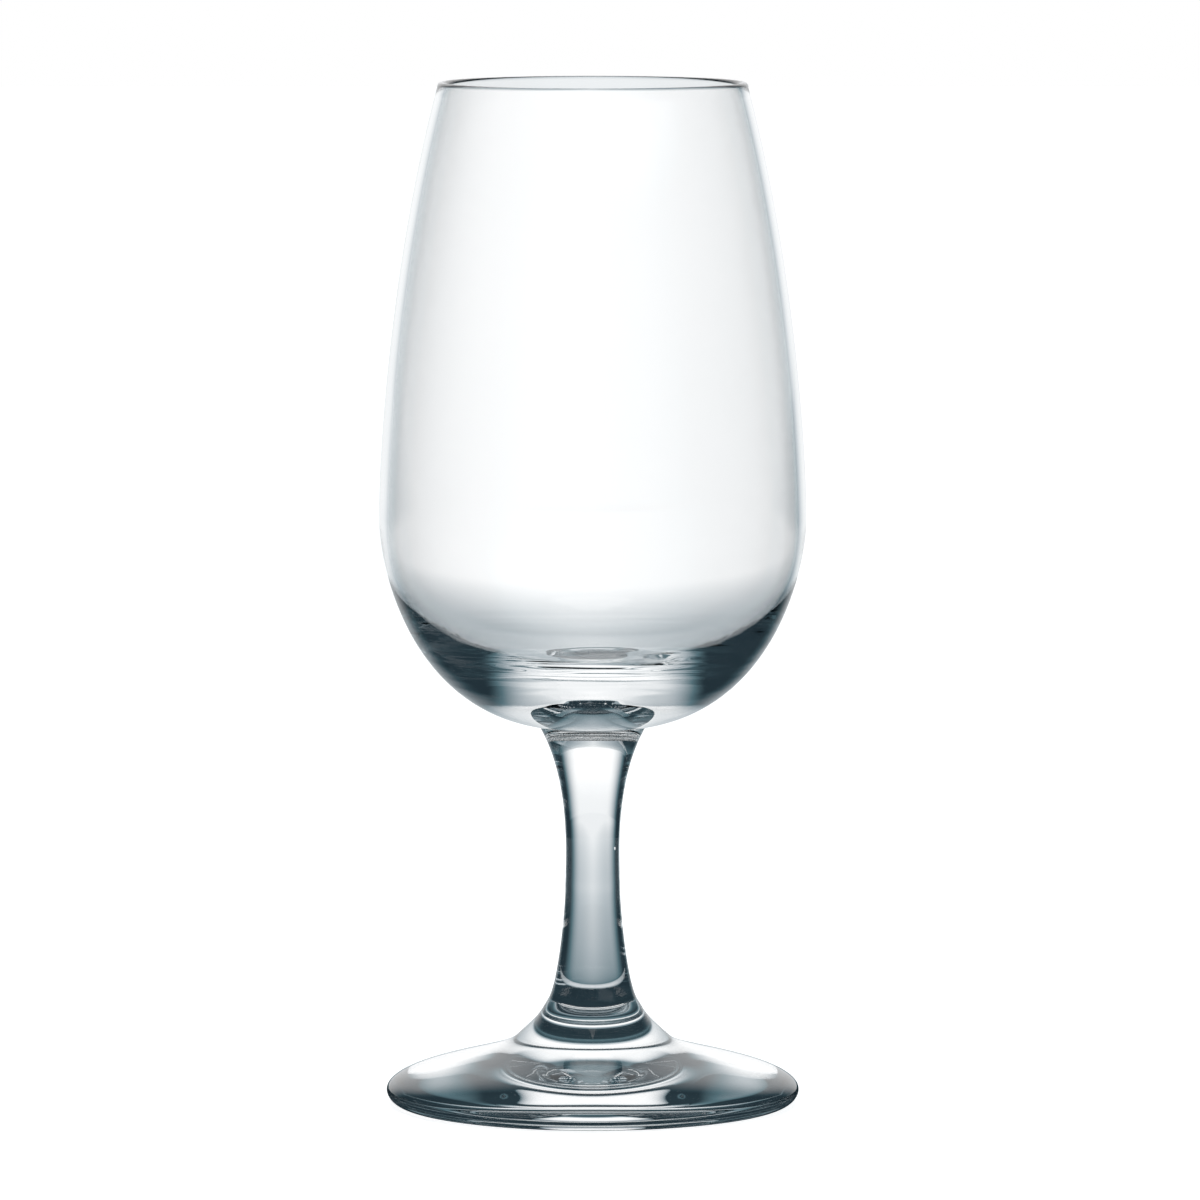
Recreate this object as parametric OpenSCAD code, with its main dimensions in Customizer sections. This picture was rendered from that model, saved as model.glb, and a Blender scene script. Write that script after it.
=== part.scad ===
// Sherry glass: a blown tulip bowl, a drawn stem and a pressed disc foot, welded together hot.
// Lengths are in millimetres and +Z is up. The origin is on the table, under the middle of the foot.

/* [Bowl] */
// Height of the bowl, from the weld on the stem to the rim
bowl_h = 80.2; // [60:0.1:120]
// Outer diameter at the rim
rim_d = 38.6; // [30:0.2:60]
// Outer diameter at the belly, the widest place
belly_d = 53.2; // [40:0.2:80]
// Height of the belly above the weld
belly_h = 26; // [18:0.2:40]
// Thickness of the wall, from the belly to the rim
wall = 1.1; // [0.8:0.1:2.4]
// Thickness of the solid base, from the weld to the inside
base_t = 5; // [3:0.2:12]
// Lean of the wall at the rim, in degrees from upright
rim_lean = 14.8; // [5:0.2:25]
// Rise of the underside beside the weld, in degrees from level
under_rise = 8; // [2:1:20]

/* [Stem] */
// Length of the stem, from weld to weld
stem_l = 34.3; // [22:0.1:80]
// Diameter of the weld under the bowl
bowl_weld_d = 13.3; // [10:0.1:20]
// Diameter of the weld on the foot
foot_weld_d = 11.2; // [9:0.1:18]
// Diameter at the waist, the thinnest place
waist_d = 6.85; // [5:0.05:9]
// Height of the waist above the weld on the foot
waist_h = 14; // [8:0.5:20]
// Slope of the flare under the bowl, in degrees from level
flare_slope = 60; // [50:1:80]
// Slope of the flare at the weld on the foot, in degrees from level
collar_slope = 58; // [48:1:75]

/* [Foot] */
// Diameter of the foot
foot_d = 51.5; // [44:0.5:80]
// Height of the foot, from the table to the weld
foot_h = 13; // [10:0.5:20]
// Width of the sloping collar beside the weld
collar_w = 4.1; // [2:0.1:6]
// Height of the collar, from the knee below it to the weld
collar_h = 4.7; // [3:0.1:7]
// Slope of the knee between the collar and the disc, in degrees from level
knee_slope = 42; // [30:1:50]
// Height of the lip's widest place above the table
lip_h = 1.75; // [1:0.05:3]
// Undercut of the lip, from its widest place to the resting ring
lip_under = 2; // [1:0.1:4]
// Width of the flat ring that the glass rests on
rest_w = 1.5; // [1:0.1:4]
// Depth of the shallow hollow inside the resting ring
hollow_h = 2; // [0.4:0.1:3]

/* [Hidden] */

// Fineness: steps along each curve of an outline, and sides of a full turn
curve_steps = 24;
$fn = 128;

// Heights of the two welds and of the rim above the table
foot_weld_z = foot_h;
bowl_weld_z = foot_h + stem_l;
rim_z = bowl_weld_z + bowl_h;

// Reach of the curves' handles, as shares of the heights or widths that the curves cross
side_belly_share = 0.15;
side_rim_share = 0.41;
lower_belly_share = 0.25;
lower_weld_share = 0.8;
inside_belly_share = 0.45;
inside_floor_share = 0.85;
flare_top_share = 0.35;
flare_waist_share = 0.16;
taper_waist_share = 0.18;
taper_foot_share = 0.15;
collar_weld_share = 0.35;
collar_knee_share = 0.74;
disc_knee_share = 0.14;
disc_lip_share = 0.49;
lip_side_share = 0.5;
lip_rest_share = 0.55;
hollow_crown_share = 0.66;

glass = [0.78, 0.84, 0.87, 0.45];

// Cubic curve through the first and last of four points, with the middle two as its handles
function on_curve(p, t) =
    pow(1 - t, 3) * p[0] + 3 * t * pow(1 - t, 2) * p[1] + 3 * t * t * (1 - t) * p[2] + pow(t, 3) * p[3];

// Points along a curve, without its first one
function curve(p) = [for (i = [1:curve_steps]) on_curve(p, i / curve_steps)];

// A point at a length and an angle from another
function from(p, length, angle) = p + length * [cos(angle), sin(angle)];

// Side of the bowl between the belly and the rim, outside or inset by the wall
function bowl_side(inset) =
    let (
        top_z = rim_z - wall / 2,
        low_z = bowl_weld_z + belly_h,
        side_h = top_z - low_z,
        belly = [belly_d / 2 - inset, low_z],
        rim = [rim_d / 2 - inset, top_z]
    )
    [
        belly,
        belly + [0, side_belly_share * side_h],
        from(rim, side_rim_share * side_h / cos(rim_lean), rim_lean - 90),
        rim
    ];

// Lower part of the bowl outside, from the weld up to the belly
function bowl_lower() =
    let (
        weld = [bowl_weld_d / 2, bowl_weld_z],
        belly = bowl_side(0)[0]
    )
    [
        weld,
        from(weld, lower_weld_share * (belly.x - weld.x), under_rise),
        belly - [0, lower_belly_share * belly_h],
        belly
    ];

// Inside of the bowl below the belly, from the belly down to the middle of the floor
function bowl_inside() =
    let (
        belly = bowl_side(wall)[0],
        floor_z = bowl_weld_z + base_t
    )
    [
        belly,
        belly - [0, inside_belly_share * (belly.y - floor_z)],
        [inside_floor_share * belly.x, floor_z],
        [0, floor_z]
    ];

// Fire-polished rim: a half round from the outside to the inside of the wall
function rim_round() =
    let (
        middle = [(rim_d - wall) / 2, rim_z - wall / 2]
    )
    [for (i = [1:curve_steps - 1]) from(middle, wall / 2, i * 180 / curve_steps)];

function backwards(points) = [for (i = [len(points) - 1:-1:0]) points[i]];

module bowl() {
    color(glass)
        rotate_extrude()
            polygon(concat(
                [[0, bowl_weld_z], [bowl_weld_d / 2, bowl_weld_z]],
                curve(bowl_lower()),
                curve(bowl_side(0)),
                rim_round(),
                [bowl_side(wall)[3]],
                curve(backwards(bowl_side(wall))),
                curve(bowl_inside())
            ));
}

module stem() {
    top = [bowl_weld_d / 2, bowl_weld_z];
    low = [foot_weld_d / 2, foot_weld_z];
    waist = [waist_d / 2, foot_weld_z + waist_h];
    flare_h = top.y - waist.y;
    taper = [
        low,
        from(low, taper_foot_share * waist_h / sin(collar_slope), 180 - collar_slope),
        waist - [0, taper_waist_share * waist_h],
        waist
    ];
    flare = [
        waist,
        waist + [0, flare_waist_share * flare_h],
        from(top, -flare_top_share * flare_h / sin(flare_slope), flare_slope),
        top
    ];
    color(glass)
        rotate_extrude()
            polygon(concat(
                [[0, foot_weld_z], low],
                curve(taper),
                curve(flare),
                [[0, bowl_weld_z]]
            ));
}

module foot() {
    weld = [foot_weld_d / 2, foot_weld_z];
    knee = weld + [collar_w, -collar_h];
    lip = [foot_d / 2, lip_h];
    rest_r = lip.x - lip_under;
    hollow_r = rest_r - rest_w;
    collar_l = norm(knee - weld);
    collar = [
        weld,
        from(weld, collar_weld_share * collar_l, -collar_slope),
        from(knee, -collar_knee_share * collar_l, -knee_slope),
        knee
    ];
    disc = [
        knee,
        from(knee, disc_knee_share * (lip.x - knee.x) / cos(knee_slope), -knee_slope),
        lip + [0, disc_lip_share * (knee.y - lip.y)],
        lip
    ];
    under = [
        lip,
        lip - [0, lip_side_share * lip_h],
        [rest_r + lip_rest_share * lip_under, 0],
        [rest_r, 0]
    ];
    hollow = [
        [hollow_r, 0],
        [hollow_crown_share * hollow_r, hollow_h],
        [hollow_crown_share * hollow_r / 2, hollow_h],
        [0, hollow_h]
    ];
    color(glass)
        rotate_extrude()
            polygon(concat(
                [[0, foot_weld_z], weld],
                curve(collar),
                curve(disc),
                curve(under),
                [hollow[0]],
                curve(hollow)
            ));
}

bowl();
stem();
foot();
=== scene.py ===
"""Sherry glass: a blown bowl, a drawn stem and a pressed foot, welded hot, on a pale studio floor."""
import math

import bmesh
import bpy
from bpy.props import FloatProperty, FloatVectorProperty, IntProperty, PointerProperty
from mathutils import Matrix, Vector


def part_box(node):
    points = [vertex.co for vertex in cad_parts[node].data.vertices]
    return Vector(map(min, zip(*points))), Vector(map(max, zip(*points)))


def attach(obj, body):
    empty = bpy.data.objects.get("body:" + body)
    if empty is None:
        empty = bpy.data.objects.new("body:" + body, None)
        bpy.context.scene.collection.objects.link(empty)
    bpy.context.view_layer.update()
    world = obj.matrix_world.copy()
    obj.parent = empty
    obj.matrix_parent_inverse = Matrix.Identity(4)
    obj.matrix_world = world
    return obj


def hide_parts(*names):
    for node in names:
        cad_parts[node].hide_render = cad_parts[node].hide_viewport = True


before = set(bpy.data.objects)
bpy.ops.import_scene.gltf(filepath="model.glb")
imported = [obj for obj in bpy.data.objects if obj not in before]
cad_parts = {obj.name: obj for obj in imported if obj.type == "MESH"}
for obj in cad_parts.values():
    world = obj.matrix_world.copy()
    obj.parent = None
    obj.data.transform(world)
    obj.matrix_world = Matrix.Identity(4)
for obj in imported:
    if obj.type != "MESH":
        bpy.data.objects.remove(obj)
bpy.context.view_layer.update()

bl_info = {
    "name": "Sherry Glass",
    "version": (1, 0, 0),
    "blender": (4, 5, 0),
    "location": "View3D > Sidebar > Sherry Glass",
    "description": "Turns a stemmed sherry glass from its outline and stands it in a plain studio",
    "category": "Add Mesh",
}

BODY = "root"

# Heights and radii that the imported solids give, in metres
FOOT_LOW, FOOT_HIGH = (Vector(corner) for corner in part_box("foot"))
BOWL_LOW, BOWL_HIGH = (Vector(corner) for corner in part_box("bowl"))
FOOT_RADIUS = (FOOT_HIGH.x - FOOT_LOW.x) / 2
BELLY_RADIUS = (BOWL_HIGH.x - BOWL_LOW.x) / 2
FOOT_WELD_Z = FOOT_HIGH.z
BOWL_WELD_Z = BOWL_LOW.z
RIM_Z = BOWL_HIGH.z

# Lengths of the curve handles, as shares of the stretch that each curve spans
SIDE_BELLY_SHARE = 0.15
SIDE_RIM_SHARE = 0.41
LOWER_BELLY_SHARE = 0.25
LOWER_WELD_SHARE = 0.8
INSIDE_BELLY_SHARE = 0.45
INSIDE_FLOOR_SHARE = 0.85
FLARE_TOP_SHARE = 0.35
FLARE_WAIST_SHARE = 0.16
TAPER_WAIST_SHARE = 0.18
TAPER_FOOT_SHARE = 0.15
COLLAR_WELD_SHARE = 0.35
COLLAR_KNEE_SHARE = 0.74
DISC_KNEE_SHARE = 0.14
DISC_LIP_SHARE = 0.49
LIP_SIDE_SHARE = 0.5
LIP_REST_SHARE = 0.55
HOLLOW_CROWN_SHARE = 0.66

# Fineness of the turned meshes
CURVE_STEPS = 44
RIM_STEPS = 16
MERGE_GAP = 1e-7
WELD_GAP = 1e-6
SHARP_ANGLE = math.radians(40)

# Added to a count before a division, so that rounding can't drop it into the step below
CELL_MIDDLE = 0.5

# Lights round the glass, and patches of painted light on the floor: share of the full light, heading, even
# and faded half widths in degrees
PANEL = (0.95, -1, 18, 49)
# Painted pool of light on the floor, seen through the glass
PAINTED_POOL = (0.78, -3, 20, 48)
HOLLOW = (
    (0.70, -3, 29, 56),
    (0.22, -1, 12, 28),
    (0.08, -1, 0, 5),
)
# Painted light on the floor before the glass, seen through it
PAINTED_FOREGROUND = (0.35, 180, 30, 70)
WINDOWS = (
    (0.95, -90, 14, 34),
    (0.95, -45, 12, 28),
    (0.95, 135, 20, 50),
)
SLITS = (
    (0.85, -90, 8, 24),
    (0.95, 135, 20, 50),
)
# Painted light on the floor where the gap between the cloths falls, seen through the glass
PAINTED_GAP = (0.75, -45, 6, 9)
PAINTED_GAP_NEAR = (0.75, -45, 2, 4)
OVERHEAD = (0.9, 180, 40, 60)
FRONT = (0.45, 140, 14, 34)

# Shares of the full light at which its colour is set, from the darkest to the brightest
SHADES = (0.0, 0.15, 0.4, 1.0)

# How much longer than its reach the way of light from high up on the glass is, in metres
FALL = 0.0003

# Transmissions of light that has crossed the hollow bowl, and not just one solid piece
HOLLOW_CROSSINGS = 3.5

# Between no mirror and the first one that light has met
FIRST_MIRROR = 0.5

# Faint casts and smears: how often they change, how finely, and where a smear starts and is full
CLOUD_SCALE = 60.0
CLOUD_DETAIL = 2.0
SMEAR_SCALE = 180.0
SMEAR_DETAIL = 4.0
SMEAR_SPAN = (0.55, 0.8)

# Streaks in the bowl's base per metre, few round the axis and many across it
DRAWN = (50.0, 50.0, 450.0)
STREAK_DETAIL = 1.0

# Heights over the weld between which the streaks rise and fade, and radii between which they rise
STREAK_RISE = (0.003, 0.005)
STREAK_FADE = (0.009, 0.014)
STREAK_REACH = (0.013, 0.018)

# The floor lies just under the foot, so that they don't share a plane
FLOOR_DROP = 0.0001
FLOOR_SIDES = 128

# Bounces that light may make through thick glass and off mirrors, and the brightest bounced light
GLASS_BOUNCES = 32
MIRROR_BOUNCES = 16
BRIGHTEST_BOUNCE = 4.0

# The photograph's frame: its side, the column of the glass's axis and the row of the aim, in pixels
PHOTO_SIDE = 1200
AXIS_COLUMN = 592.7
AIM_ROW = 593.0
CLIP_START = 0.01

MM_PER_METRE = 1000


def length(label, text, millimetres):
    """A length that a user may change, shown in the scene's units."""
    return FloatProperty(name=label, description=text, default=millimetres / MM_PER_METRE, min=0,
                         precision=5, subtype="DISTANCE", unit="LENGTH")


def angle(label, text, degrees):
    """An angle that a user may change."""
    return FloatProperty(name=label, description=text, default=math.radians(degrees), subtype="ANGLE",
                         unit="ROTATION")


def amount(label, text, value):
    """A plain number that a user may change."""
    return FloatProperty(name=label, description=text, default=value, min=0, precision=4)


def colour(label, text, rgb):
    """A linear colour that a user may change."""
    return FloatVectorProperty(name=label, description=text, default=rgb, size=3, min=0, max=2,
                               subtype="COLOR")


class GlassSizes(bpy.types.PropertyGroup):
    """Sizes of the outline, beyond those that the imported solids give"""

    rim_width: length("Rim width", "Outside diameter of the mouth", 38.6)
    belly_rise: length("Belly rise", "Height of the widest ring over the bowl's weld", 26.0)
    wall: length("Wall", "Thickness of the bowl's wall", 1.1)
    base: length("Base", "Thickness of the bowl's floor", 5.0)
    rim_lean: angle("Rim lean", "How far the wall leans in at the mouth", 14.8)
    under_rise: angle("Under rise", "Slope of the bowl's underside at its weld", 8.0)
    bowl_weld: length("Bowl weld", "Diameter where the stem meets the bowl", 13.3)
    foot_weld: length("Foot weld", "Diameter where the stem meets the foot", 11.2)
    waist: length("Waist", "Diameter of the stem where it is thinnest", 6.85)
    waist_rise: length("Waist rise", "Height of the waist over the foot's weld", 14.0)
    flare_slope: angle("Flare slope", "Slope of the stem's side at the bowl's weld", 60.0)
    collar_slope: angle("Collar slope", "Slope of the side at the foot's weld", 58.0)
    collar_width: length("Collar width", "How far the collar spreads below its weld", 4.1)
    collar_drop: length("Collar drop", "How far the collar falls to its knee", 4.7)
    knee_slope: angle("Knee slope", "Slope where the collar turns into the disc", 42.0)
    lip_height: length("Lip height", "Height of the widest ring of the foot", 1.75)
    lip_under: length("Lip under", "How far the resting ring lies inside the lip", 2.0)
    rest_width: length("Rest width", "Width of the flat resting ring", 1.5)
    hollow: length("Hollow", "Depth of the hollow under the foot", 2.0)
    sides: IntProperty(name="Sides", description="Facets around the axis", default=256, min=32, max=512)


class GlassFinish(bpy.types.PropertyGroup):
    """How the glass takes the light"""

    tint: colour("Tint", "Faint cast of the clear glass", (0.995, 0.996, 0.998))
    cast: colour("Cast", "Second, cooler cast that clouds the first", (0.982, 0.988, 0.990))
    index: amount("Index", "Refractive index of the glass", 1.52)
    ripple: length("Ripple", "Depth of the streaks in the bowl's base", 0.18)
    haze: amount("Haze", "Roughness of faint smears on the surface", 0.012)


class StudioLight(bpy.types.PropertyGroup):
    """The soft light round the glass, and the floor with its painted pool of light"""

    backdrop: colour("Backdrop", "What the camera sees behind the glass", (1.0, 1.0, 1.0))
    full: amount("Full", "The brightest light of the tall soft panel behind the glass", 1.2)
    # White, steel, dusk and slate also colour the painted light on the floor, slate its painted shade
    white: colour("White", "Colour of the full light", (1.0, 1.0, 1.0))
    steel: colour("Steel", "Colour of the light where the panel fades", (0.35, 0.40, 0.43))
    dusk: colour("Dusk", "Colour of the light where the panel has nearly faded", (0.085, 0.15, 0.175))
    slate: colour("Slate", "Dark cloth between the lights", (0.014, 0.026, 0.034))
    crest: angle("Crest", "Height at which the panel starts to fade", 28.0)
    top: angle("Top", "Height at which the panel has faded out", 46.0)
    dip: amount("Dip", "Share of the panel's light missing at the horizon, through solid glass", 0.14)
    dip_top: angle("Dip top", "Height at which no light is missing", 12.0)
    window_crest: angle("Window crest", "Height at which the windows start to fade", 2.0)
    window_top: angle("Window top", "Height at which the windows have faded out", 8.0)
    dome: amount("Dome", "Share of the light that the cloth overhead gives back", 0.13)
    dome_low: angle("Dome low", "Height at which the dark cloth turns to the grey one", 36.0)
    dome_high: angle("Dome high", "Height above which only the grey cloth is left", 60.0)
    overhead_low: angle("Overhead low", "Height at which the soft light overhead starts", 56.0)
    overhead_high: angle("Overhead high", "Height at which that light is full", 66.0)
    front_low: angle("Front low", "Height at which the panel beside the camera starts", 16.0)
    front_core: angle("Front core", "Height at which that panel is full", 22.0)
    front_crest: angle("Front crest", "Height at which the panel beside the camera starts to fade", 30.0)
    front_top: angle("Front top", "Height at which that panel has faded out", 44.0)
    # Painted pool on the floor, seen only through the glass: painted shade in the dark middle, painted
    # light towards its edge
    painted_pool_core: length("Pool core", "Radius of the floor's dark middle", 30.0)
    painted_pool_edge: length("Pool edge", "Radius at which the floor is bright, straight before the panel", 400.0)
    painted_pool_bowl: length("Pool bowl", "The same radius through the hollow bowl", 430.0)
    painted_pool_side: length("Pool side", "The same radius beside that line", 2500.0)
    painted_pool_turn: angle("Pool turn", "Heading at which the radius has grown to that", 22.0)
    painted_pool_spill: amount("Pool spill", "Share of that growth that shows through solid glass", 0.3)
    painted_pool_bend: amount("Pool bend", "How quickly the floor brightens at first; lower is quicker", 0.25)
    painted_pool_bowl_bend: amount("Bowl bend", "The same through the hollow bowl", 0.27)
    # Painted window light and painted light through the gap, emitted by the floor
    painted_window_near: length("Window near", "Radius at which a window's light on the floor starts", 24.0)
    painted_window_far: length("Window far", "Radius at which that light is full", 60.0)
    painted_gap_near: length("Gap near", "Radius at which the gap between the cloths starts on the floor", 270.0)
    painted_gap_step: length("Gap step", "Radius beyond which only light from high up shows the gap", 301.0)
    painted_gap_far: length("Gap far", "Radius at which that gap ends", 355.0)
    painted_gap_blur: length("Gap blur", "Width over which the gap's ends fade", 14.0)
    # Painted light: a bright ring that the floor emits under the foot, not light that it gives back
    under: amount("Under", "Share of the light that the floor gives back under the foot", 0.55)
    painted_under_near: length("Under near", "Radius at which that share starts", 14.0)
    painted_under_core: length("Under core", "Radius at which that share is full", 19.0)
    painted_under_far: length("Under far", "Radius at which that share starts to fade", 26.0)
    painted_under_edge: length("Under edge", "Radius at which it has faded out", 30.0)
    floor_radius: length("Floor radius", "Radius of the floor", 3000.0)
    floor_glow: amount("Floor glow", "Own light of the pale floor", 0.9)
    floor_matt: colour("Floor matt", "What the floor gives back of the lamp's light", (0.8, 0.8, 0.8))
    floor_near: length("Floor near", "Radius at which the floor starts to turn into the backdrop", 200.0)
    floor_far: length("Floor far", "Radius at which the floor is as bright as the backdrop", 1200.0)
    lamp_power: amount("Lamp power", "Power of the overhead lamp in watts", 3.0)
    lamp_width: length("Lamp width", "Diameter of the overhead lamp", 500.0)
    lamp_height: length("Lamp height", "Height of the overhead lamp", 900.0)


class StudioCamera(bpy.types.PropertyGroup):
    """The photograph's point of view"""

    distance: length("Distance", "How far the camera stands from the axis", 1186.7)
    height: length("Height", "How high the camera stands", 177.2)
    tilt: angle("Tilt", "How far the camera looks down", 5.451)
    lens: amount("Lens", "Focal length in millimetres", 287.4)
    sensor: amount("Sensor", "Width of the sensor in millimetres", 36.0)


class Wire:
    """An output of a node. Arithmetic on it adds Math nodes to its board."""

    def __init__(self, board, socket):
        self.board = board
        self.socket = socket

    def __add__(self, other):
        return self.board.math("ADD", self, other)

    def __radd__(self, other):
        return self.board.math("ADD", other, self)

    def __sub__(self, other):
        return self.board.math("SUBTRACT", self, other)

    def __rsub__(self, other):
        return self.board.math("SUBTRACT", other, self)

    def __mul__(self, other):
        return self.board.math("MULTIPLY", self, other)

    def __rmul__(self, other):
        return self.board.math("MULTIPLY", other, self)

    def __truediv__(self, other):
        return self.board.math("DIVIDE", self, other)


class Outlets:
    """The outputs of one node, by name, identifier or place."""

    def __init__(self, board, made):
        self.board = board
        self.made = made

    def __getitem__(self, key):
        return Wire(self.board, find_socket(self.made.outputs, key))


class Board:
    """A node tree while it is wired."""

    def __init__(self, tree):
        self.tree = tree

    def node(self, kind, settings=None, sockets=None):
        """Adds a node: its settings come first, then the values or links of its sockets."""
        made = self.tree.nodes.new(kind)
        for name, value in (settings or {}).items():
            setattr(made, name, value)
        for key, value in (sockets or {}).items():
            socket = find_socket(made.inputs, key)
            if isinstance(value, Wire):
                self.tree.links.new(value.socket, socket)
            else:
                socket.default_value = value
        return Outlets(self, made)

    def math(self, operation, *values):
        """One Math node on wires and numbers."""
        return self.node("ShaderNodeMath", {"operation": operation}, dict(enumerate(values)))[0]

    def rise(self, value, low, high, kind="SMOOTHSTEP"):
        """0 where value is under low, 1 where it is over high, and smooth or straight between."""
        ends = {"Value": value, "From Min": low, "From Max": high}
        return self.node("ShaderNodeMapRange", {"interpolation_type": kind}, ends)["Result"]

    def ramp(self, factor, stops, colours):
        """A colour that runs through others, each at its stop between 0 and 1."""
        outlets = self.node("ShaderNodeValToRGB", None, {"Fac": factor})
        elements = outlets.made.color_ramp.elements
        while len(elements) < len(stops):
            elements.new(1.0)
        for element, stop, rgb in zip(elements, stops, colours):
            element.position = stop
            element.color = opaque(rgb)
        return outlets["Color"]

    def most(self, *values):
        """The largest of several values."""
        largest = values[0]
        for value in values[1:]:
            largest = self.math("MAXIMUM", largest, value)
        return largest

    def mix(self, factor, first, second):
        """A colour between two colours."""
        ends = {"Factor_Float": factor, "A_Color": first, "B_Color": second}
        return self.node("ShaderNodeMix", {"data_type": "RGBA"}, ends)["Result_Color"]

    def mix_shaders(self, factor, first, second):
        """A shader between two shaders."""
        return self.node("ShaderNodeMixShader", None, {0: factor, 1: first, 2: second})[0]


def find_socket(sockets, key):
    """A node's socket by its place, its identifier or its name."""
    if isinstance(key, int):
        return sockets[key]
    for socket in sockets:
        if socket.identifier == key:
            return socket
    return sockets[key]


def opaque(rgb):
    """A colour with its alpha."""
    return (*rgb, 1.0)


def fresh_board(block):
    """The emptied node tree of a material or a world."""
    block.use_nodes = True
    block.node_tree.nodes.clear()
    return Board(block.node_tree)


def away(start, distance, slope):
    """The point at a distance from start, in the direction of slope."""
    return start + distance * Vector((math.cos(slope), math.sin(slope)))


def curve(corners, steps=CURVE_STEPS):
    """Points along one cubic curve, both ends included."""
    start, pull_start, pull_end, end = corners
    points = []
    for step in range(steps + 1):
        t = step / steps
        u = 1 - t
        points.append(u**3 * start + 3 * u**2 * t * pull_start + 3 * u * t**2 * pull_end + t**3 * end)
    return points


def joined(*stretches):
    """One outline from stretches that share their end points."""
    points = []
    for stretch in stretches:
        for point in stretch:
            if not points or (point - points[-1]).length > MERGE_GAP:
                points.append(point)
    return points


def bowl_side(sizes, inset):
    """The bowl's wall from its belly up to its rim, set in from the outside."""
    top = RIM_Z - sizes.wall / 2
    low = BOWL_WELD_Z + sizes.belly_rise
    span = top - low
    belly = Vector((BELLY_RADIUS - inset, low))
    rim = Vector((sizes.rim_width / 2 - inset, top))
    pull = SIDE_RIM_SHARE * span / math.cos(sizes.rim_lean)
    return [
        belly,
        belly + Vector((0, SIDE_BELLY_SHARE * span)),
        away(rim, pull, sizes.rim_lean - math.pi / 2),
        rim,
    ]


def bowl_outline(sizes):
    """From the axis over the weld, up the outside, over the rim and down the inside to the axis."""
    weld = Vector((sizes.bowl_weld / 2, BOWL_WELD_Z))
    outer = bowl_side(sizes, 0)
    inner = bowl_side(sizes, sizes.wall)
    belly = outer[0]
    belly_in = inner[0]
    floor_z = BOWL_WELD_Z + sizes.base
    lower = [
        weld,
        away(weld, LOWER_WELD_SHARE * (belly.x - weld.x), sizes.under_rise),
        belly - Vector((0, LOWER_BELLY_SHARE * sizes.belly_rise)),
        belly,
    ]
    inside = [
        belly_in,
        belly_in - Vector((0, INSIDE_BELLY_SHARE * (belly_in.y - floor_z))),
        Vector((INSIDE_FLOOR_SHARE * belly_in.x, floor_z)),
        Vector((0, floor_z)),
    ]
    crown = (outer[3] + inner[3]) / 2
    turns = [math.pi * step / RIM_STEPS for step in range(RIM_STEPS + 1)]
    rim = [away(crown, sizes.wall / 2, turn) for turn in turns]
    return joined([Vector((0, BOWL_WELD_Z))], curve(lower), curve(outer), rim, curve(inner)[::-1],
                  curve(inside))


def stem_outline(sizes):
    """From the axis over the lower weld, up the side and over the upper weld to the axis."""
    low = Vector((sizes.foot_weld / 2, FOOT_WELD_Z))
    waist = Vector((sizes.waist / 2, FOOT_WELD_Z + sizes.waist_rise))
    top = Vector((sizes.bowl_weld / 2, BOWL_WELD_Z))
    flare_rise = top.y - waist.y
    taper = [
        low,
        away(low, TAPER_FOOT_SHARE * sizes.waist_rise / math.sin(sizes.collar_slope),
             math.pi - sizes.collar_slope),
        waist - Vector((0, TAPER_WAIST_SHARE * sizes.waist_rise)),
        waist,
    ]
    flare = [
        waist,
        waist + Vector((0, FLARE_WAIST_SHARE * flare_rise)),
        away(top, -FLARE_TOP_SHARE * flare_rise / math.sin(sizes.flare_slope), sizes.flare_slope),
        top,
    ]
    return joined([Vector((0, FOOT_WELD_Z))], curve(taper), curve(flare), [Vector((0, BOWL_WELD_Z))])


def foot_outline(sizes):
    """From the axis along the hollow, over the resting ring and the lip, up the disc to the weld."""
    weld = Vector((sizes.foot_weld / 2, FOOT_WELD_Z))
    knee = weld + Vector((sizes.collar_width, -sizes.collar_drop))
    lip = Vector((FOOT_RADIUS, sizes.lip_height))
    rest = Vector((FOOT_RADIUS - sizes.lip_under, 0))
    ring = Vector((rest.x - sizes.rest_width, 0))
    crown = Vector((HOLLOW_CROWN_SHARE * ring.x, sizes.hollow))
    collar_span = (knee - weld).length
    hollow = [Vector((0, sizes.hollow)), Vector((crown.x / 2, sizes.hollow)), crown, ring]
    under = [
        rest,
        Vector((rest.x + LIP_REST_SHARE * sizes.lip_under, 0)),
        lip - Vector((0, LIP_SIDE_SHARE * sizes.lip_height)),
        lip,
    ]
    disc = [
        lip,
        lip + Vector((0, DISC_LIP_SHARE * (knee.y - lip.y))),
        away(knee, DISC_KNEE_SHARE * (lip.x - knee.x) / math.cos(sizes.knee_slope), -sizes.knee_slope),
        knee,
    ]
    collar = [
        knee,
        away(knee, -COLLAR_KNEE_SHARE * collar_span, -sizes.knee_slope),
        away(weld, COLLAR_WELD_SHARE * collar_span, -sizes.collar_slope),
        weld,
    ]
    return joined(curve(hollow), curve(under), curve(disc), curve(collar), [Vector((0, FOOT_WELD_Z))])


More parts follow.
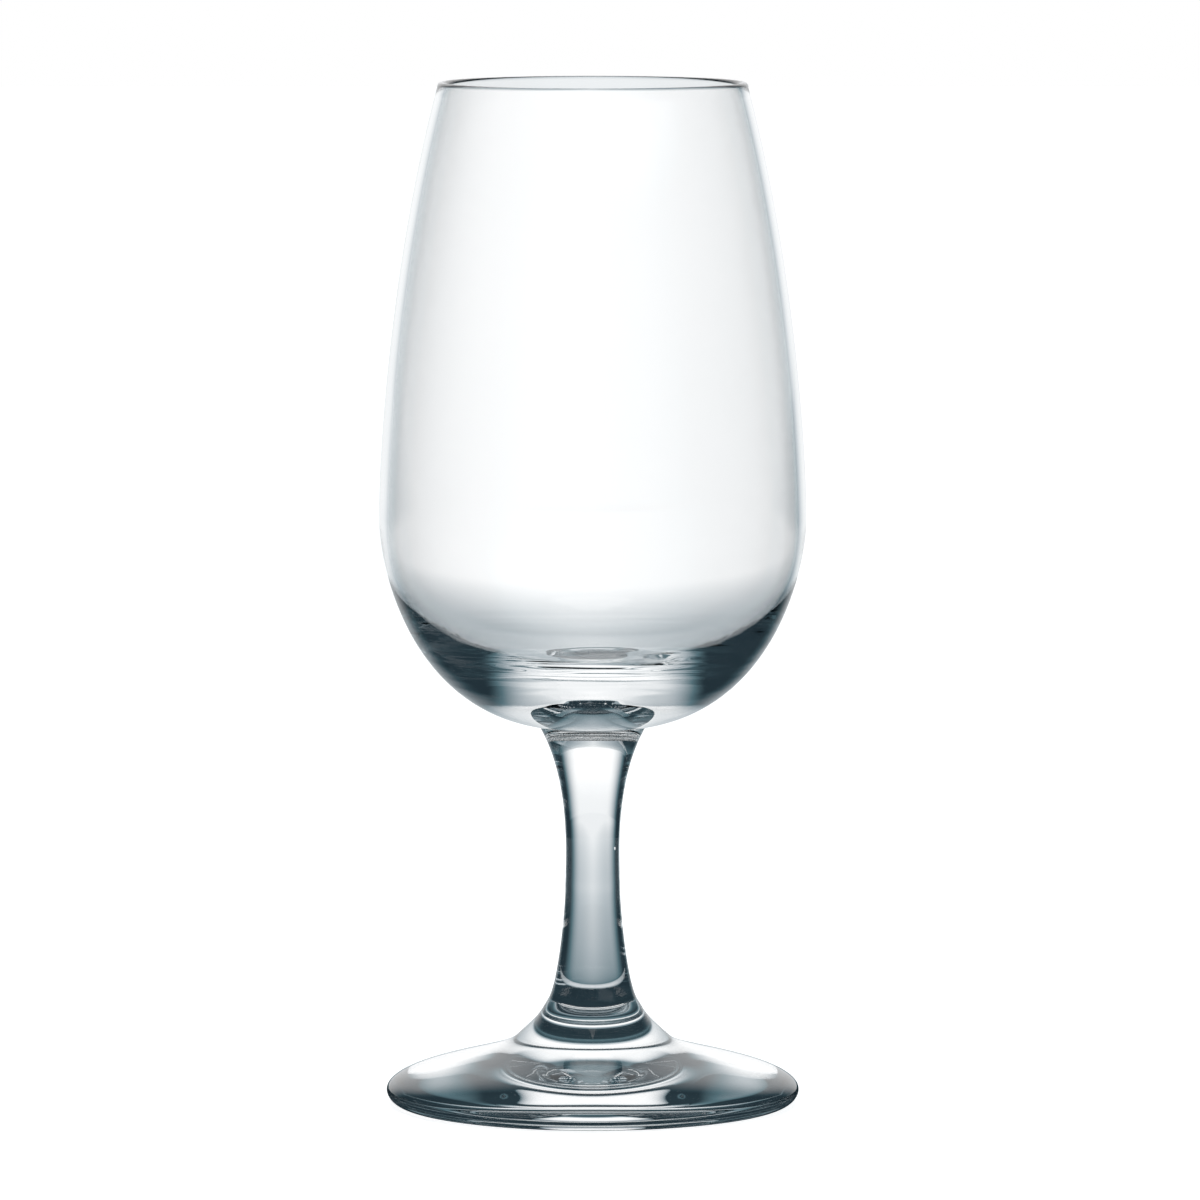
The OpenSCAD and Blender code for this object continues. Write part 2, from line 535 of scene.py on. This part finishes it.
def lathe_group():
    """The Geometry Nodes lathe: turns the object's own outline round the Z axis."""
    name = "lathe"
    if name in bpy.data.node_groups:
        return bpy.data.node_groups[name]
    tree = bpy.data.node_groups.new(name, "GeometryNodeTree")
    inputs = (
        ("Outline", "NodeSocketGeometry"),
        ("Sides", "NodeSocketInt"),
        ("Sharp Angle", "NodeSocketFloat"),
        ("Weld Low", "NodeSocketFloat"),
        ("Weld High", "NodeSocketFloat"),
        ("Glass", "NodeSocketMaterial"),
        ("Weld", "NodeSocketMaterial"),
    )
    for label, kind in inputs:
        tree.interface.new_socket(label, in_out="INPUT", socket_type=kind)
    tree.interface.new_socket("Mesh", in_out="OUTPUT", socket_type="NodeSocketGeometry")
    board = Board(tree)
    given = board.node("NodeGroupInput")
    spot = board.node("GeometryNodeInputPosition")["Position"]
    count = board.node("GeometryNodeAttributeDomainSize", {"component": "MESH"},
                       {"Geometry": given["Outline"]})["Point Count"]
    around = given["Sides"] + 1
    grid = board.node("GeometryNodeMeshGrid", None, {"Vertices X": count, "Vertices Y": around})

    # Each column of the grid is one point of the outline, and each row one step of the turn
    index = board.node("GeometryNodeInputIndex")["Index"]
    column = board.math("FLOOR", (index + CELL_MIDDLE) / around)
    row = index - column * around
    sample = board.node("GeometryNodeSampleIndex", {"data_type": "FLOAT_VECTOR", "domain": "POINT"},
                        {"Geometry": given["Outline"], "Value": spot, "Index": column})
    outline = board.node("ShaderNodeSeparateXYZ", None, {"Vector": sample["Value"]})
    turn = row * math.tau / given["Sides"]
    radius = outline["X"]
    placed = board.node("ShaderNodeCombineXYZ", None, {
        "X": radius * board.math("COSINE", turn),
        "Y": radius * board.math("SINE", turn),
        "Z": outline["Z"],
    })
    turned = board.node("GeometryNodeSetPosition", None,
                        {"Geometry": grid["Mesh"], "Position": placed["Vector"]})
    closed = board.node("GeometryNodeMergeByDistance", None,
                        {"Geometry": turned["Geometry"], "Distance": MERGE_GAP})

    # Only the corners at the welds stay sharp
    bend = board.node("GeometryNodeInputMeshEdgeAngle")["Unsigned Angle"]
    gentle = board.node("FunctionNodeCompare", {"data_type": "FLOAT", "operation": "LESS_THAN"},
                        {"A": bend, "B": given["Sharp Angle"]})
    faces = board.node("GeometryNodeSetShadeSmooth", {"domain": "FACE"}, {"Geometry": closed["Geometry"]})
    edges = board.node("GeometryNodeSetShadeSmooth", {"domain": "EDGE"},
                       {"Geometry": faces["Geometry"], "Shade Smooth": gentle["Result"]})

    # The weld's own faces lie inside the glass, where light passes straight on
    height = board.node("ShaderNodeSeparateXYZ", None, {"Vector": spot})["Z"]
    to_low = board.math("ABSOLUTE", height - given["Weld Low"])
    to_high = board.math("ABSOLUTE", height - given["Weld High"])
    at_weld = board.node("FunctionNodeCompare", {"data_type": "FLOAT", "operation": "LESS_THAN"},
                         {"A": board.math("MINIMUM", to_low, to_high), "B": WELD_GAP})
    glazed = board.node("GeometryNodeSetMaterial", None,
                        {"Geometry": edges["Geometry"], "Material": given["Glass"]})
    welded = board.node("GeometryNodeSetMaterial", None, {
        "Geometry": glazed["Geometry"],
        "Selection": at_weld["Result"],
        "Material": given["Weld"],
    })
    whole = board.node("GeometryNodeRealizeInstances", None, {"Geometry": welded["Geometry"]})
    board.node("NodeGroupOutput", None, {"Mesh": whole["Geometry"]})
    return tree


def turned_piece(name, outline, sizes, finish):
    """A closed piece of glass from its outline, as a plain mesh."""
    section = bpy.data.meshes.new(name + "_outline")
    links = [(i, i + 1) for i in range(len(outline) - 1)]
    section.from_pydata([(point.x, 0, point.y) for point in outline], links, [])
    piece = bpy.data.objects.new(name, section)
    bpy.context.scene.collection.objects.link(piece)
    group = lathe_group()
    values = {
        "Sides": sizes.sides,
        "Sharp Angle": SHARP_ANGLE,
        "Weld Low": FOOT_WELD_Z,
        "Weld High": BOWL_WELD_Z,
        "Glass": clear_glass(finish),
        "Weld": weld_seam(finish),
    }
    modifier = piece.modifiers.new("lathe", "NODES")
    modifier.node_group = group
    for item in group.interface.items_tree:
        if item.in_out == "INPUT" and item.name in values:
            modifier[item.identifier] = values[item.name]
    evaluated = piece.evaluated_get(bpy.context.evaluated_depsgraph_get())
    mesh = bpy.data.meshes.new_from_object(evaluated)
    piece.modifiers.clear()
    piece.data = mesh
    drop_empty_slots(mesh)
    mesh.name = name
    bpy.data.meshes.remove(section)
    face_outwards(mesh)
    return piece


def drop_empty_slots(mesh):
    """Takes out the slots that hold no material, and keeps the faces on theirs."""
    for index in reversed(range(len(mesh.materials))):
        if mesh.materials[index] is None:
            mesh.materials.pop(index=index)


def face_outwards(mesh):
    """Turns every face outwards, and stops if the surface is open."""
    shell = bmesh.new()
    shell.from_mesh(mesh)
    gaps = [edge for edge in shell.edges if not edge.is_manifold]
    bmesh.ops.recalc_face_normals(shell, faces=shell.faces)
    shell.to_mesh(mesh)
    shell.free()
    if gaps:
        raise RuntimeError(f"{mesh.name} is open at {len(gaps)} edges")


def clear_glass(finish):
    """Clear fire-polished glass with a faint cast, streaks in the bowl's base and a trace of haze."""
    name = "fire_polished_glass"
    if name in bpy.data.materials:
        return bpy.data.materials[name]
    material = bpy.data.materials.new(name)
    board = fresh_board(material)
    place = board.node("ShaderNodeTexCoord")["Object"]
    clouds = board.node("ShaderNodeTexNoise", None,
                        {"Vector": place, "Scale": CLOUD_SCALE, "Detail": CLOUD_DETAIL})["Fac"]
    smears = board.node("ShaderNodeTexNoise", None,
                        {"Vector": place, "Scale": SMEAR_SCALE, "Detail": SMEAR_DETAIL})["Fac"]
    axes = board.node("ShaderNodeSeparateXYZ", None, {"Vector": place})
    level = board.node("ShaderNodeCombineXYZ", None, {"X": axes["X"], "Y": axes["Y"]})["Vector"]
    reach = board.node("ShaderNodeVectorMath", {"operation": "LENGTH"}, {0: level})["Value"]
    drawn = board.node("ShaderNodeVectorMath", {"operation": "MULTIPLY"}, {0: place, 1: DRAWN})["Vector"]
    streaks = board.node("ShaderNodeTexNoise", {"noise_dimensions": "4D"}, {
        "Vector": drawn,
        "W": reach * DRAWN[2],
        "Scale": 1.0,
        "Detail": STREAK_DETAIL,
    })["Fac"]
    low = board.rise(axes["Z"], *(BOWL_WELD_Z + rise for rise in STREAK_RISE))
    high = board.rise(axes["Z"], *(BOWL_WELD_Z + rise for rise in STREAK_FADE))
    height = streaks * low * (1 - high) * board.rise(reach, *STREAK_REACH)
    bump = board.node("ShaderNodeBump", None,
                      {"Strength": 1.0, "Distance": finish.ripple, "Height": height})["Normal"]
    shader = board.node("ShaderNodeBsdfPrincipled", None, {
        "Base Color": board.mix(clouds, opaque(finish.tint), opaque(finish.cast)),
        "Roughness": board.rise(smears, *SMEAR_SPAN) * finish.haze,
        "IOR": finish.index,
        "Transmission Weight": 1.0,
        "Normal": bump,
    })
    board.node("ShaderNodeOutputMaterial", None, {"Surface": shader["BSDF"]})
    return material


def weld_seam(finish):
    """The faces inside a hot weld: the glass runs on, so nothing shows there."""
    name = "weld_seam"
    if name in bpy.data.materials:
        return bpy.data.materials[name]
    material = bpy.data.materials.new(name)
    board = fresh_board(material)
    shader = board.node("ShaderNodeBsdfPrincipled", None, {
        "Base Color": opaque(finish.tint),
        "IOR": finish.index,
        "Transmission Weight": 1.0,
        "Alpha": 0.0,
    })
    board.node("ShaderNodeOutputMaterial", None, {"Surface": shader["BSDF"]})
    return material


def place_camera(scene, view):
    """The camera at the photograph's viewing angle and framing."""
    camera = bpy.data.objects.new("camera", bpy.data.cameras.new("camera"))
    scene.collection.objects.link(camera)
    camera.data.lens = view.lens
    camera.data.sensor_width = view.sensor
    camera.data.clip_start = CLIP_START
    camera.location = (0, -view.distance, view.height)
    camera.rotation_euler = (math.pi / 2 - view.tilt, 0, 0)
    camera.data.shift_x = (PHOTO_SIDE / 2 - AXIS_COLUMN) / PHOTO_SIDE
    camera.data.shift_y = (AIM_ROW - PHOTO_SIDE / 2) / PHOTO_SIDE
    scene.camera = camera


def aside(board, bearing, heading):
    """How far a bearing lies to either side of a heading that is in degrees."""
    turned = board.math("WRAP", bearing - math.radians(heading), math.pi, -math.pi)
    return board.math("ABSOLUTE", turned)


def sector(board, bearing, share, heading, core, edge):
    """A share of the light within core of a heading, fading to none at edge, all in degrees."""
    turned = aside(board, bearing, heading)
    return share * (1 - board.rise(turned, math.radians(core), math.radians(edge)))


def crossed_bowl(board):
    """1 for light that has crossed the hollow bowl, 0 for light that has met solid glass alone."""
    crossings = board.node("ShaderNodeLightPath")["Transmission Depth"]
    return board.math("GREATER_THAN", crossings, HOLLOW_CROSSINGS)


def unmirrored(board):
    """1 for light that no surface has mirrored, 0 for the rest."""
    mirrors = board.node("ShaderNodeLightPath")["Glossy Depth"]
    return board.math("LESS_THAN", mirrors, FIRST_MIRROR)


def from_high(board, reach):
    """1 for light that left the glass so high that its way is longer than its reach over the floor."""
    way = board.node("ShaderNodeLightPath")["Ray Length"]
    return board.math("GREATER_THAN", way - FALL, reach)


def backlight(board, bearing, even):
    """The share of the light behind the glass. Through the hollow bowl it peaks in the middle."""
    plain = sector(board, bearing, *even)
    peaked = sum(sector(board, bearing, *stretch) for stretch in HOLLOW)
    return plain + (peaked - plain) * crossed_bowl(board)


def windows(board, bearing):
    """The low windows' share of the light. Through the bowl they are wide, and mirrors lose them."""
    narrow = board.most(*(sector(board, bearing, *slit) for slit in SLITS))
    wide = board.most(*(sector(board, bearing, *window) for window in WINDOWS))
    return (narrow + (wide - narrow) * crossed_bowl(board)) * unmirrored(board)


def shade(board, share, light):
    """The colour of a share of the light, from dark slate through steel grey to white; on the floor, the
    colour of the painted light.
    """
    return board.ramp(share, SHADES, (light.slate, light.dusk, light.steel, light.white))


def studio_world(scene, light):
    """White backdrop for the camera; panels and low windows with dark cloth between for the glass."""
    world = bpy.data.worlds.new("studio")
    scene.world = world
    board = fresh_board(world)
    direction = board.node("ShaderNodeTexCoord")["Generated"]
    axes = board.node("ShaderNodeSeparateXYZ", None, {"Vector": direction})
    bearing = board.math("ARCTAN2", axes["X"], axes["Y"])
    height = board.math("ARCSINE", axes["Z"])
    missing = light.dip * (1 - board.rise(height, 0, light.dip_top)) * (1 - crossed_bowl(board))
    tall = backlight(board, bearing, PANEL) * (1 - board.rise(height, light.crest, light.top))
    tall = tall * (1 - missing)
    low = windows(board, bearing) * (1 - board.rise(height, light.window_crest, light.window_top))
    dome = light.dome * board.rise(height, light.dome_low, light.dome_high)
    above = sector(board, bearing, *OVERHEAD) * (1 - crossed_bowl(board))
    above = above * board.rise(height, light.overhead_low, light.overhead_high)
    front = sector(board, bearing, *FRONT) * board.rise(height, light.front_low, light.front_core)
    front = front * (1 - board.rise(height, light.front_crest, light.front_top))
    lit = shade(board, board.most(tall, low, dome, above, front), light)
    around = board.node("ShaderNodeBackground", None, {"Color": lit, "Strength": light.full})
    behind = board.node("ShaderNodeBackground", None, {"Color": opaque(light.backdrop)})
    seen = board.node("ShaderNodeLightPath")["Is Camera Ray"]
    board.node("ShaderNodeOutputWorld", None,
               {"Surface": board.mix_shaders(seen, around["Background"], behind["Background"])})


def painted_pool_edge(board, bearing, light):
    """The radius at which the painted pool on the floor is bright. Beside the panel it grows, most through
    the bowl.
    """
    beside = board.rise(board.math("ABSOLUTE", bearing), 0, light.painted_pool_turn)
    solid = light.painted_pool_edge + (light.painted_pool_side - light.painted_pool_edge) * light.painted_pool_spill * beside
    hollow = light.painted_pool_bowl + (light.painted_pool_side - light.painted_pool_bowl) * beside
    return solid + (hollow - solid) * crossed_bowl(board)


def floor_with_painted_pool(light):
    """A pale floor for the camera; through the glass it shows painted light instead, a pool with painted
    shade in its dark middle that brightens towards the lights.
    """
    material = bpy.data.materials.new("pale_floor")
    board = fresh_board(material)
    place = board.node("ShaderNodeTexCoord")["Object"]
    axes = board.node("ShaderNodeSeparateXYZ", None, {"Vector": place})
    bearing = board.math("ARCTAN2", axes["X"], axes["Y"])
    reach = board.node("ShaderNodeVectorMath", {"operation": "LENGTH"}, {0: place})["Value"]
    # Painted shade: the pool is dark under the glass and brightens outwards
    outwards = board.rise(reach, light.painted_pool_core, painted_pool_edge(board, bearing, light), "LINEAR")
    bend = light.painted_pool_bend + (light.painted_pool_bowl_bend - light.painted_pool_bend) * crossed_bowl(board)
    tall = backlight(board, bearing, PAINTED_POOL) * board.math("POWER", outwards, bend)
    # Painted window light on the floor, from the windows' and the foreground's shares
    before = board.most(windows(board, bearing), sector(board, bearing, *PAINTED_FOREGROUND))
    low = before * board.rise(reach, light.painted_window_near, light.painted_window_far)
    # Painted light: a bright ring on the floor under the foot
    ring = board.rise(reach, light.painted_under_near, light.painted_under_core)
    under = light.under * ring * (1 - board.rise(reach, light.painted_under_far, light.painted_under_edge))
    # Painted light where the gap between the cloths falls on the floor
    starts = board.rise(reach, light.painted_gap_near, light.painted_gap_near + light.painted_gap_blur)
    ends = board.rise(reach, light.painted_gap_far - light.painted_gap_blur, light.painted_gap_far)
    near = sector(board, bearing, *PAINTED_GAP_NEAR) * board.math("LESS_THAN", reach, light.painted_gap_step)
    high = sector(board, bearing, *PAINTED_GAP) * from_high(board, reach)
    gap = board.most(near, high) * starts * (1 - ends)
    # Painted light: the floor emits these colours itself, slate where it is painted darkest
    lit = shade(board, board.most(tall, low, board.most(under, gap) * unmirrored(board)), light)
    painted_light = board.node("ShaderNodeEmission", None, {"Color": lit, "Strength": light.full})

    far = board.rise(reach, light.floor_near, light.floor_far)
    own = board.mix(far, opaque([light.floor_glow] * 3), opaque(light.backdrop))
    glow = board.node("ShaderNodeEmission", None, {"Color": own})
    matt = board.node("ShaderNodeBsdfDiffuse", None, {"Color": opaque(light.floor_matt)})
    pale = board.node("ShaderNodeAddShader", None, {0: matt["BSDF"], 1: glow["Emission"]})
    seen = board.node("ShaderNodeLightPath")["Is Camera Ray"]
    board.node("ShaderNodeOutputMaterial", None,
               {"Surface": board.mix_shaders(seen, painted_light["Emission"], pale["Shader"])})
    return material


def lay_floor(scene, light):
    """A round floor just under the foot."""
    mesh = bpy.data.meshes.new("floor")
    disc = bmesh.new()
    bmesh.ops.create_circle(disc, cap_ends=True, radius=light.floor_radius, segments=FLOOR_SIDES)
    disc.to_mesh(mesh)
    disc.free()
    mesh.materials.append(floor_with_painted_pool(light))
    floor = bpy.data.objects.new("floor", mesh)
    floor.location.z = -FLOOR_DROP
    scene.collection.objects.link(floor)


def hang_lamp(scene, light):
    """A soft lamp overhead that lights only the floor and leaves a faint shadow there."""
    lamp = bpy.data.objects.new("overhead_lamp", bpy.data.lights.new("overhead_lamp", "AREA"))
    lamp.data.shape = "DISK"
    lamp.data.size = light.lamp_width
    lamp.data.energy = light.lamp_power
    lamp.location.z = light.lamp_height
    lamp.visible_camera = False
    lamp.visible_glossy = False
    lamp.visible_transmission = False
    scene.collection.objects.link(lamp)


def tune_rendering(scene):
    """Light paths long enough for thick glass, and colours shown as they are."""
    scene.view_settings.view_transform = "Standard"
    scene.cycles.max_bounces = GLASS_BOUNCES
    scene.cycles.transmission_bounces = GLASS_BOUNCES
    scene.cycles.glossy_bounces = MIRROR_BOUNCES
    scene.cycles.transparent_max_bounces = GLASS_BOUNCES
    scene.cycles.sample_clamp_indirect = BRIGHTEST_BOUNCE
    scene.cycles.use_denoising = True


class GLASS_OT_stage(bpy.types.Operator):
    """Lays the floor, lights the studio and places the camera"""

    bl_idname = "sherry_glass.stage"
    bl_label = "Studio"

    def execute(self, context):
        scene = context.scene
        place_camera(scene, scene.glass_camera)
        studio_world(scene, scene.glass_light)
        lay_floor(scene, scene.glass_light)
        hang_lamp(scene, scene.glass_light)
        tune_rendering(scene)
        return {"FINISHED"}


def dress(context, name, outline, node):
    """Turns one piece, puts it in place of its solid and ties it to the body."""
    scene = context.scene
    piece = turned_piece(name, outline(scene.glass_sizes), scene.glass_sizes, scene.glass_finish)
    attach(piece, BODY)
    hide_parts(node)


class GLASS_OT_bowl(bpy.types.Operator):
    """Blows the bowl: thin wall, rounded rim and a thick floor"""

    bl_idname = "sherry_glass.bowl"
    bl_label = "Blown bowl"

    def execute(self, context):
        dress(context, "blown_bowl", bowl_outline, "bowl")
        return {"FINISHED"}


class GLASS_OT_stem(bpy.types.Operator):
    """Draws the stem between its two welds"""

    bl_idname = "sherry_glass.stem"
    bl_label = "Drawn stem"

    def execute(self, context):
        dress(context, "drawn_stem", stem_outline, "stem")
        return {"FINISHED"}


class GLASS_OT_foot(bpy.types.Operator):
    """Presses the foot: collar, disc, round lip and hollow underside"""

    bl_idname = "sherry_glass.foot"
    bl_label = "Pressed foot"

    def execute(self, context):
        dress(context, "pressed_foot", foot_outline, "foot")
        return {"FINISHED"}


class GLASS_PT_panel(bpy.types.Panel):
    """Lists the pieces of the glass and its sizes"""

    bl_idname = "GLASS_PT_panel"
    bl_label = "Sherry Glass"
    bl_space_type = "VIEW_3D"
    bl_region_type = "UI"
    bl_category = "Sherry Glass"

    def draw(self, context):
        for operator in OPERATORS:
            self.layout.operator(operator.bl_idname)
        for group_name in GROUPS:
            group = getattr(context.scene, group_name)
            box = self.layout.box()
            for field in group.__annotations__:
                box.prop(group, field)


GROUPS = {
    "glass_sizes": GlassSizes,
    "glass_finish": GlassFinish,
    "glass_light": StudioLight,
    "glass_camera": StudioCamera,
}
OPERATORS = (GLASS_OT_stage, GLASS_OT_bowl, GLASS_OT_stem, GLASS_OT_foot)
CLASSES = (*GROUPS.values(), *OPERATORS, GLASS_PT_panel)


def register():
    """Registers the classes and ties the settings to the scene."""
    for cls in CLASSES:
        bpy.utils.register_class(cls)
    for name, group in GROUPS.items():
        setattr(bpy.types.Scene, name, PointerProperty(type=group))


def unregister():
    """Takes the settings and the classes away again."""
    for name in GROUPS:
        delattr(bpy.types.Scene, name)
    for cls in reversed(CLASSES):
        bpy.utils.unregister_class(cls)


def main():
    """Makes the stage, then the three pieces from the bowl down."""
    register()
    bpy.ops.sherry_glass.stage()
    bpy.ops.sherry_glass.bowl()
    bpy.ops.sherry_glass.stem()
    bpy.ops.sherry_glass.foot()


if __name__ == "__main__":
    main()
